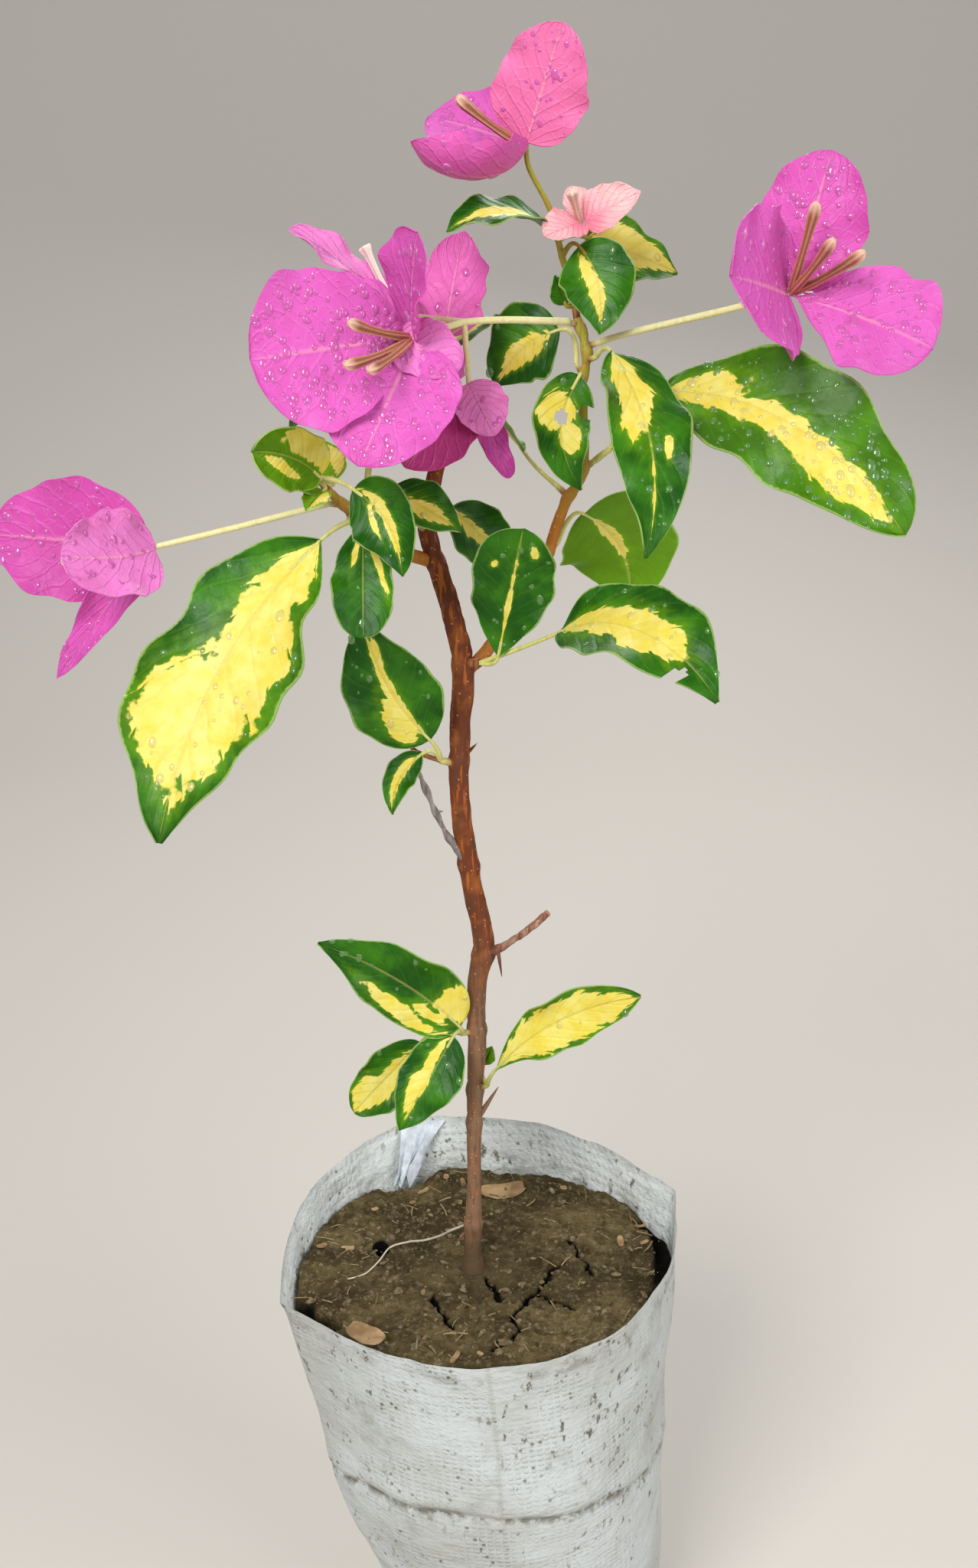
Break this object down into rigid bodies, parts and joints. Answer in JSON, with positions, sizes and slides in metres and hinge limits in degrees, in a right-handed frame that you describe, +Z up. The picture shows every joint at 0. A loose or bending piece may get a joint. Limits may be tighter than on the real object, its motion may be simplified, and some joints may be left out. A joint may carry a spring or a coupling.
{
  "type": "potted bougainvillea",
  "caption": "Young variegated bougainvillea with a thin bent trunk, cream-centred green leaves and papery pink blooms, standing in a white grow bag filled with soil.",
  "frame": {"origin": "on the floor, on the grow bag's flat underside", "axes": "+Z up along the plant's height, +X to the plant's right seen from its front, -Y towards the viewer in front"},
  "size_m": [0.2281, 0.1212, 0.5],
  "materials": {
    "bag": "white woven plastic, matte and a little dirty",
    "soil": "dry cracked garden soil",
    "bark": "thin reddish brown bark, grey-brown towards the foot",
    "shoot": "young orange-brown bark",
    "dead_wood": "dry grey-brown wood",
    "leaf": "glossy green leaf with cream patches",
    "bract": "thin pink bract, satin"
  },
  "bodies": {
    "root": {"centre_bloom_spray": "bract", "crown_back_spray": "leaf", "dead_twig_left": "dead_wood", "dead_twig_right": "dead_wood", "grow_bag": "bag", "knot_spray": "leaf", "left_back_spray": "leaf", "left_bloom_spray": "bract", "left_hanging_spray": "leaf", "left_shoot": "shoot", "left_tip_spray": "leaf", "low_left_spray": "leaf", "low_right_spray": "leaf", "mid_left_spray": "leaf", "neck_left_spray": "leaf", "neck_right_spray": "leaf", "right_back_spray": "leaf", "right_bloom_spray": "bract", "right_far_spray": "leaf", "right_inner_spray": "leaf", "right_leaf_spray": "leaf", "right_low_spray": "leaf", "right_shoot": "shoot", "right_thin_spray": "leaf", "soil": "soil", "top_spray": "leaf", "trunk": "bark"}
  },
  "joints": []
}
